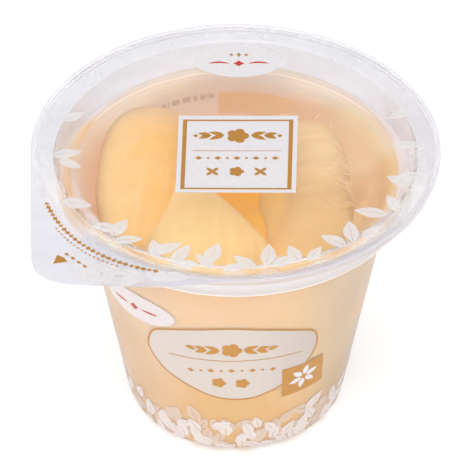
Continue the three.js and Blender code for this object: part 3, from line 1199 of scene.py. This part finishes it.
def gold_bar(u0, v0, u1, v1, target, n=12):
    a, b = [], []
    if u1 - u0 > v1 - v0:
        for k in range(n + 1):
            u = u0 + (u1 - u0) * k / n
            a.append(on_panel(u, v1))
            b.append(on_panel(u, v0))
    else:
        for k in range(n + 1):
            v = v0 + (v1 - v0) * k / n
            a.append(on_panel(u0, v))
            b.append(on_panel(u1, v))
    target.strip(a, b, G0, G1)


gold_bar(0.038, 0.040, 0.073, 0.948, lid_gold)
gold_bar(0.927, 0.040, 0.962, 0.948, lid_gold)
gold_bar(0.0735, 0.928, 0.9265, 0.948, lid_gold)
gold_bar(0.0735, 0.040, 0.9265, 0.060, lid_gold)
gold_bar(0.13, 0.535, 0.87, 0.542, lid_gold)


def motif(target, pts, rings=1, extra=0.0):
    target.patch(pts, G0 + extra, G1 + extra, rings)


pc = on_panel(0.5, 0.735)
motif(lid_gold, blossom(pc[0], pc[1], 2.9))
for side in (-1, 1):
    for k, (du, length, ang) in enumerate(((3.3, 4.3, 20), (3.5, 4.0, -24), (6.6, 3.6, 16),
                                           (6.8, 3.2, -20))):
        a = ang if side > 0 else 180 - ang
        motif(lid_gold, leaf_outline(pc[0] + side * du, pc[1], a, length, 1.5, 0.2 * side, 7))
    motif(lid_gold, lozenge(pc[0] + side * 10.6, pc[1], 0.75, 0.75))
for k in range(9):
    x, y = on_panel(0.18 + 0.64 * k / 8, 0.445)
    if k % 2:
        motif(lid_gold, lozenge(x, y, 0.5, 0.5))
    else:
        motif(lid_gold, lozenge(x, y, 1.05, 0.75))
for k in range(3):
    x, y = on_panel(0.30 + 0.20 * k, 0.27)
    if k == 1:
        motif(lid_gold, blossom(x, y, 1.9))
    else:
        for a in (45, 135, 225, 315):
            motif(lid_gold, leaf_outline(x, y, a, 2.2, 1.0, 0.0, 6))
lid_gold.done("lid_print_gold", GOLD_INK, "print_gold")

# small white pad at the back of the lid, with a generic mark
pad = Print(on_lid)
pad.patch(ellipse(0.8, 35.6, 11.4, 6.6, 0, 64), H0 + 0.03, H1 + 0.03, 5)
pad.done("lid_print_pad", WHITE_INK, "print_white")
pad_red, pad_gold = Print(on_lid), Print(on_lid)
for side in (-1, 1):
    pad_red.stroke([(0.8 + side * (2.6 + 5.0 * k / 8), 34.6 + 0.5 * math.sin(math.pi * k / 8))
                    for k in range(9)], lambda s: 0.2 + 0.5 * math.sin(math.pi * s), G0, G1)
pad_red.patch(lozenge(0.8, 34.6, 1.5, 1.2), G0, G1, 1)
for k in (-1, 0, 1):
    pad_gold.patch(lozenge(0.8 + 1.9 * k, 38.2, 0.6, 0.6 + (0.35 if k == 0 else 0)), G0, G1, 1)
pad_red.done("lid_mark_red", RED_INK, "print_gold")
pad_gold.done("lid_mark_gold", GOLD_INK, "print_gold")

# marks on the tab: two dotted gold lines and a small arrow that points to the corner
tab = Print(on_lid)
for k in range(26):
    s = k / 25
    t = math.radians(205.5 + 42.5 * s)
    r = 51.6 + 1.6 * math.sin(math.pi * s)
    x, y = r * math.cos(t), r * math.sin(t)
    tab.patch(lozenge(x, y, 0.92 if k % 3 else 0.6, 0.72, math.degrees(t) + 90), G0, G1, 1)
for k in range(17):
    s = k / 16
    t = math.radians(216 + 22 * s)
    r = 54.2 + 0.7 * math.sin(math.pi * s)
    x, y = r * math.cos(t), r * math.sin(t)
    tab.patch(lozenge(x, y, 0.45, 0.34, math.degrees(t) + 90), G0, G1, 1)
ax, ay = -42.6, -43.9
tab.patch([(ax - 1.6, ay - 1.6), (ax + 1.9, ay - 0.7), (ax + 0.9, ay + 0.9), (ax - 0.7, ay + 1.9)],
          G0, G1, 1)
for k in range(4):
    tab.patch(lozenge(ax + 1.6 + 1.5 * k, ay + 2.2 - 1.5 * k, 0.55, 0.8, 45), G0, G1, 1)
tab.done("lid_tab_marks", GOLD_INK, "print_gold")

# ------------------------------------------------------------------ print on the body
SHIELD = [(-17.4, 10.6), (-22.2, 7.0), (-23.8, 1.0), (-22.6, -2.6), (-19.3, -6.2), (-15.6, -8.2),
          (-11.5, -9.9), (-6.4, -11.9), (-0.9, -12.7), (4.0, -12.4), (7.6, -11.3), (12.3, -9.2),
          (16.6, -6.2), (20.4, -1.4), (21.9, 3.1), (20.9, 7.6), (17.0, 10.6), (9.0, 14.1),
          (-0.9, 15.8), (-10.0, 13.9)]


def smooth_loop(pts, n=6):
    """A closed Catmull-Rom line through the points."""
    out = []
    m = len(pts)
    for i in range(m):
        p0, p1, p2, p3 = (np.array(pts[(i + k) % m], float) for k in (-1, 0, 1, 2))
        for k in range(n):
            t = k / n
            q = 0.5 * (2 * p1 + (p2 - p0) * t + (2 * p0 - 5 * p1 + 4 * p2 - p3) * t * t
                       + (3 * p1 - p0 - 3 * p2 + p3) * t ** 3)
            out.append((float(q[0]), float(q[1])))
    return out


shield_line = smooth_loop(SHIELD)
shield = Print(on_body)
shield.patch(shield_line, H0 + 0.02, H1 + 0.02, 14, (-0.9, 2.0))
shield.done("body_print_shield", SHIELD_INK, "print_white")
body_gold = Print(on_body)
body_gold.stroke(shield_line, 0.5, G0, G1, closed=True)
body_gold.stroke([(-17.5 + 35.0 * k / 30, 2.5 - 1.7 * (1 - 4 * (k / 30) * (1 - k / 30)) + 0.9 * k / 30)
                  for k in range(31)], 0.24, G0, G1)
for side in (-1, 1):
    for k, (du, length, ang) in enumerate(((2.9, 4.2, 22), (3.1, 3.9, -22), (6.2, 3.6, 18),
                                           (6.4, 3.2, -22), (9.2, 2.8, 14))):
        dv = -0.10 * du
        a = (ang - 4) if side > 0 else 180 - (ang - 4)
        body_gold.patch(leaf_outline(-1.0 + side * du, 7.2 + dv + 0.9 * side * 0.3, a, length, 1.5,
                                     0.2 * side, 7), G0, G1, 1)
body_gold.patch(blossom(-1.0, 7.2, 2.7), G0, G1, 1)
for k in range(9):
    u = -11.5 + 21.0 * k / 8
    body_gold.patch(lozenge(u, -1.0 - 0.012 * (u + 1) ** 2 + 0.05 * (u + 1), 1.0 if k % 2 == 0 else 0.5,
                            0.75 if k % 2 == 0 else 0.5), G0, G1, 1)
for u in (-4.3, 1.7):
    body_gold.patch(blossom(u, -6.2, 1.9), G0, G1, 1)
body_gold.done("body_print_gold", GOLD_INK, "print_gold")

SEAL = [(12.0, -3.2), (24.2, -4.4), (24.1, -15.2), (12.0, -14.5)]


def on_seal(u, v):
    tl, tr, br, bl = SEAL
    return tuple((1 - u) * ((1 - v) * bl[i] + v * tl[i]) + u * ((1 - v) * br[i] + v * tr[i])
                 for i in (0, 1))


seal = Print(on_body)
corner = []
for (a, b), (c, d) in (((0, 0), (1, 0)), ((1, 0), (1, 1)), ((1, 1), (0, 1)), ((0, 1), (0, 0))):
    for k in range(8):
        corner.append(on_seal(a + (c - a) * k / 8, b + (d - b) * k / 8))
seal.patch(corner, G0 + 0.02, G1 + 0.02, 5)
seal.done("body_print_seal", GOLD_INK, "print_gold")
seal_white = Print(on_body)
sx, sy = on_seal(0.5, 0.52)
for a in range(6):
    seal_white.patch(leaf_outline(sx + 0.7 * math.cos(math.radians(60 * a + 15)),
                                  sy + 0.7 * math.sin(math.radians(60 * a + 15)),
                                  60 * a + 15, 3.6, 1.7, 0.0, 7), G1 + 0.03, G1 + 0.045, 1)
seal_white.done("body_print_seal_mark", WHITE_INK, "print_white")

body_pad = Print(on_body)
body_pad.patch(ellipse(-28.0, 12.8, 12.6, 5.0, 12, 64), H0 + 0.02, H1 + 0.02, 8)
body_pad.done("body_print_pad", PAD_INK, "print_white")
body_red = Print(on_body)
for side in (-1, 1):
    body_red.stroke([(-28.0 + side * (2.4 + 5.0 * k / 8), 12.4 + side * (0.5 + 1.1 * k / 8))
                     for k in range(9)], lambda s: 0.2 + 0.5 * math.sin(math.pi * s), G0, G1)
body_red.patch(lozenge(-28.0, 12.4, 1.5, 1.2, 12), G0, G1, 1)
body_red.done("body_mark_red", RED_INK, "print_gold")

# leaves round the foot of the cup
rng = random.Random(77)
around = 2 * math.pi * 29.5
for name, mat, lift0, rows in (
        ("body_print_faint_leaves", FOOT_FAINT, 0.0,
         ((3.4, 4.2, 0.0), (6.4, 3.6, 0.0), (9.6, 3.8, 0.05), (12.8, 5.2, 0.15), (15.6, 10.0, 0.4))),
        ("body_print_leaves", FOOT_LEAF, 0.032,
         ((3.0, 4.6, 0.0), (6.0, 4.0, 0.03), (9.2, 4.4, 0.08), (12.2, 6.4, 0.2), (15.4, 12.0, 0.35)))):
    foot = Print(on_foot)
    count = 0
    for row, (t0, gap, bare) in enumerate(rows):
        n = int(around / gap)
        for k in range(n):
            if rng.random() < bare:
                continue
            a = -around / 2 + around * (k + 0.5 * (row % 2)) / n + rng.uniform(-1.4, 1.4)
            length = rng.uniform(4.8, 6.8)
            leaf_pair(foot, a, t0 + rng.uniform(-1.0, 1.2), rng.uniform(10, 170), length,
                      length * rng.uniform(0.48, 0.58), rng.uniform(-0.2, 0.2),
                      lift0 + (count % 7) * 0.0045)
            count += 1
    foot.done(name, mat, "print_white")

# panel at the back of the body, with an unprinted window, and rows of plain grey bars
back = Print(on_body)
full = math.pi * RHO0 * math.sin(BETA)


def back_field(s0, v0, s1, v1, target, h0, h1, n=24):
    left = [(s0 + (s1 - s0) * k / n, v1) for k in range(n + 1)]
    right = [(s0 + (s1 - s0) * k / n, v0) for k in range(n + 1)]
    target.strip(left, right, h0, h1)


def on_back(s, v, h):
    """As on_body, with s counted round from the back."""
    x, y, z = on_body(s, v, h)
    return (-x, -y, z)


back = Print(on_back)
for s0, v0, s1, v1 in ((-31, 30.9, 24, 33.0), (-31, 2.0, 24, 21.5), (4.6, 21.5, 24, 30.9),
                       (-31, 21.5, -26.6, 30.9)):
    for k in range(6):
        va, vb = v0 + (v1 - v0) * k / 6, v0 + (v1 - v0) * (k + 1) / 6
        back_field(s0, va, s1, vb, back, H0, H1)
back.done("body_print_back", PANEL_INK, "print_white")
bars = Print(on_back)
for row in range(12):
    v0 = (30.2 if row == 0 else 28.6) if row < 2 else 21.6 - 1.75 * row
    s = 6.0 if row < 2 else -28.5
    while s < 20.5:
        w = rng.uniform(1.6, 5.0)
        if s + w > 21.5:
            break
        back_field(s, v0 - 0.28, s + w, v0 + 0.28, bars, H1 + 0.01, H1 + 0.02, 4)
        s += w + rng.uniform(0.5, 0.9)
bars.done("body_print_back_bars", GREY_INK, "print_white")

# ------------------------------------------------------------------ camera
R1 = 0.0515
cam_data = bpy.data.cameras.new("camera")
cam = bpy.data.objects.new("camera", cam_data)
SCENE.collection.objects.link(cam)
el = math.radians(40.6)
cam.location = (0.0, -20 * R1 * math.cos(el), 0.7 * R1 + 20 * R1 * math.sin(el))
cam_data.sensor_width = 36.0
cam_data.lens = 3996.0 / 469.0 * 36.0
cam.rotation_euler = (math.radians(90 - 39.985), math.radians(0.0), math.radians(0.0215))
cam_data.clip_start, cam_data.clip_end = 0.05, 50.0
SCENE.camera = cam

# ------------------------------------------------------------------ floor and light
n = 24
verts, faces = [], []
for j in range(n + 1):
    for i in range(n + 1):
        verts.append(((i / n - 0.5) * 6000, (j / n - 0.5) * 6000, -0.3))
for j in range(n):
    for i in range(n):
        a = j * (n + 1) + i
        faces.append((a, a + 1, a + n + 2, a + n + 1))
FLOOR = Mat("floor_paint", Roughness=0.7)
FLOOR.p.inputs["Specular IOR Level"].default_value = 0.1
FLOOR.base(FLOOR.mix(FLOOR.span(FLOOR.noise(8.0, 2.0), 0.3, 0.7), (0.93, 0.93, 0.93), (0.94, 0.94, 0.94)))
FLOOR.p.inputs["Emission Color"].default_value = (1.0, 1.0, 1.0, 1.0)
FLOOR.p.inputs["Emission Strength"].default_value = 0.19
me = bpy.data.meshes.new("floor")
me.from_pydata([tuple(c * MM for c in p) for p in verts], [], faces)
me.materials.append(FLOOR.m)
floor = bpy.data.objects.new("floor", me)
SCENE.collection.objects.link(floor)

world = bpy.data.worlds.new("studio")
SCENE.world = world
world.use_nodes = True
nt = world.node_tree
nt.nodes.clear()
out = nt.nodes.new("ShaderNodeOutputWorld")
coord = nt.nodes.new("ShaderNodeTexCoord").outputs["Generated"]


def wmath(op, a, b=None, clamp=False):
    n = nt.nodes.new("ShaderNodeMath")
    n.operation = op
    n.use_clamp = clamp
    for i, value in enumerate((a, b)):
        if value is None:
            continue
        if isinstance(value, (int, float)):
            n.inputs[i].default_value = value
        else:
            nt.links.new(value, n.inputs[i])
    return n.outputs[0]


def towards(az, elv):
    """The dot product with a direction; azimuth 0 is the camera's side."""
    a, e = math.radians(az), math.radians(elv)
    n = nt.nodes.new("ShaderNodeVectorMath")
    n.operation = "DOT_PRODUCT"
    nt.links.new(coord, n.inputs[0])
    n.inputs[1].default_value = (math.sin(a) * math.cos(e), -math.cos(a) * math.cos(e), math.sin(e))
    return n.outputs["Value"]


def band(value, a, b, c, d):
    n = nt.nodes.new("ShaderNodeMapRange")
    n.interpolation_type = "SMOOTHSTEP"
    for i, x in enumerate((a, b, c, d)):
        n.inputs[1 + i].default_value = x
    nt.links.new(value, n.inputs[0])
    return n.outputs[0]


level = wmath("ADD", band(towards(-70, 45), -0.2, 1.0, 1.02, 1.14),
              band(towards(-8, 58), 0.80, 0.93, 0.0, 1.1))
dark = band(towards(180, 38), 0.80, 0.97, 1.0, 0.30)
level = wmath("MULTIPLY", level, dark)
seen = nt.nodes.new("ShaderNodeLightPath").outputs["Is Camera Ray"]
light = nt.nodes.new("ShaderNodeBackground")
light.inputs["Color"].default_value = (1.0, 0.995, 0.99, 1.0)
nt.links.new(level, light.inputs["Strength"])
plain = nt.nodes.new("ShaderNodeBackground")
plain.inputs["Color"].default_value = (0.97, 0.97, 0.97, 1.0)
choose = nt.nodes.new("ShaderNodeMixShader")
nt.links.new(seen, choose.inputs[0])
nt.links.new(light.outputs[0], choose.inputs[1])
nt.links.new(plain.outputs[0], choose.inputs[2])
nt.links.new(choose.outputs[0], out.inputs["Surface"])

SCENE.view_settings.view_transform = "Standard"
SCENE.view_settings.look = "None"
SCENE.cycles.max_bounces = 20
SCENE.cycles.diffuse_bounces = 8
SCENE.cycles.transmission_bounces = 16
SCENE.cycles.transparent_max_bounces = 32
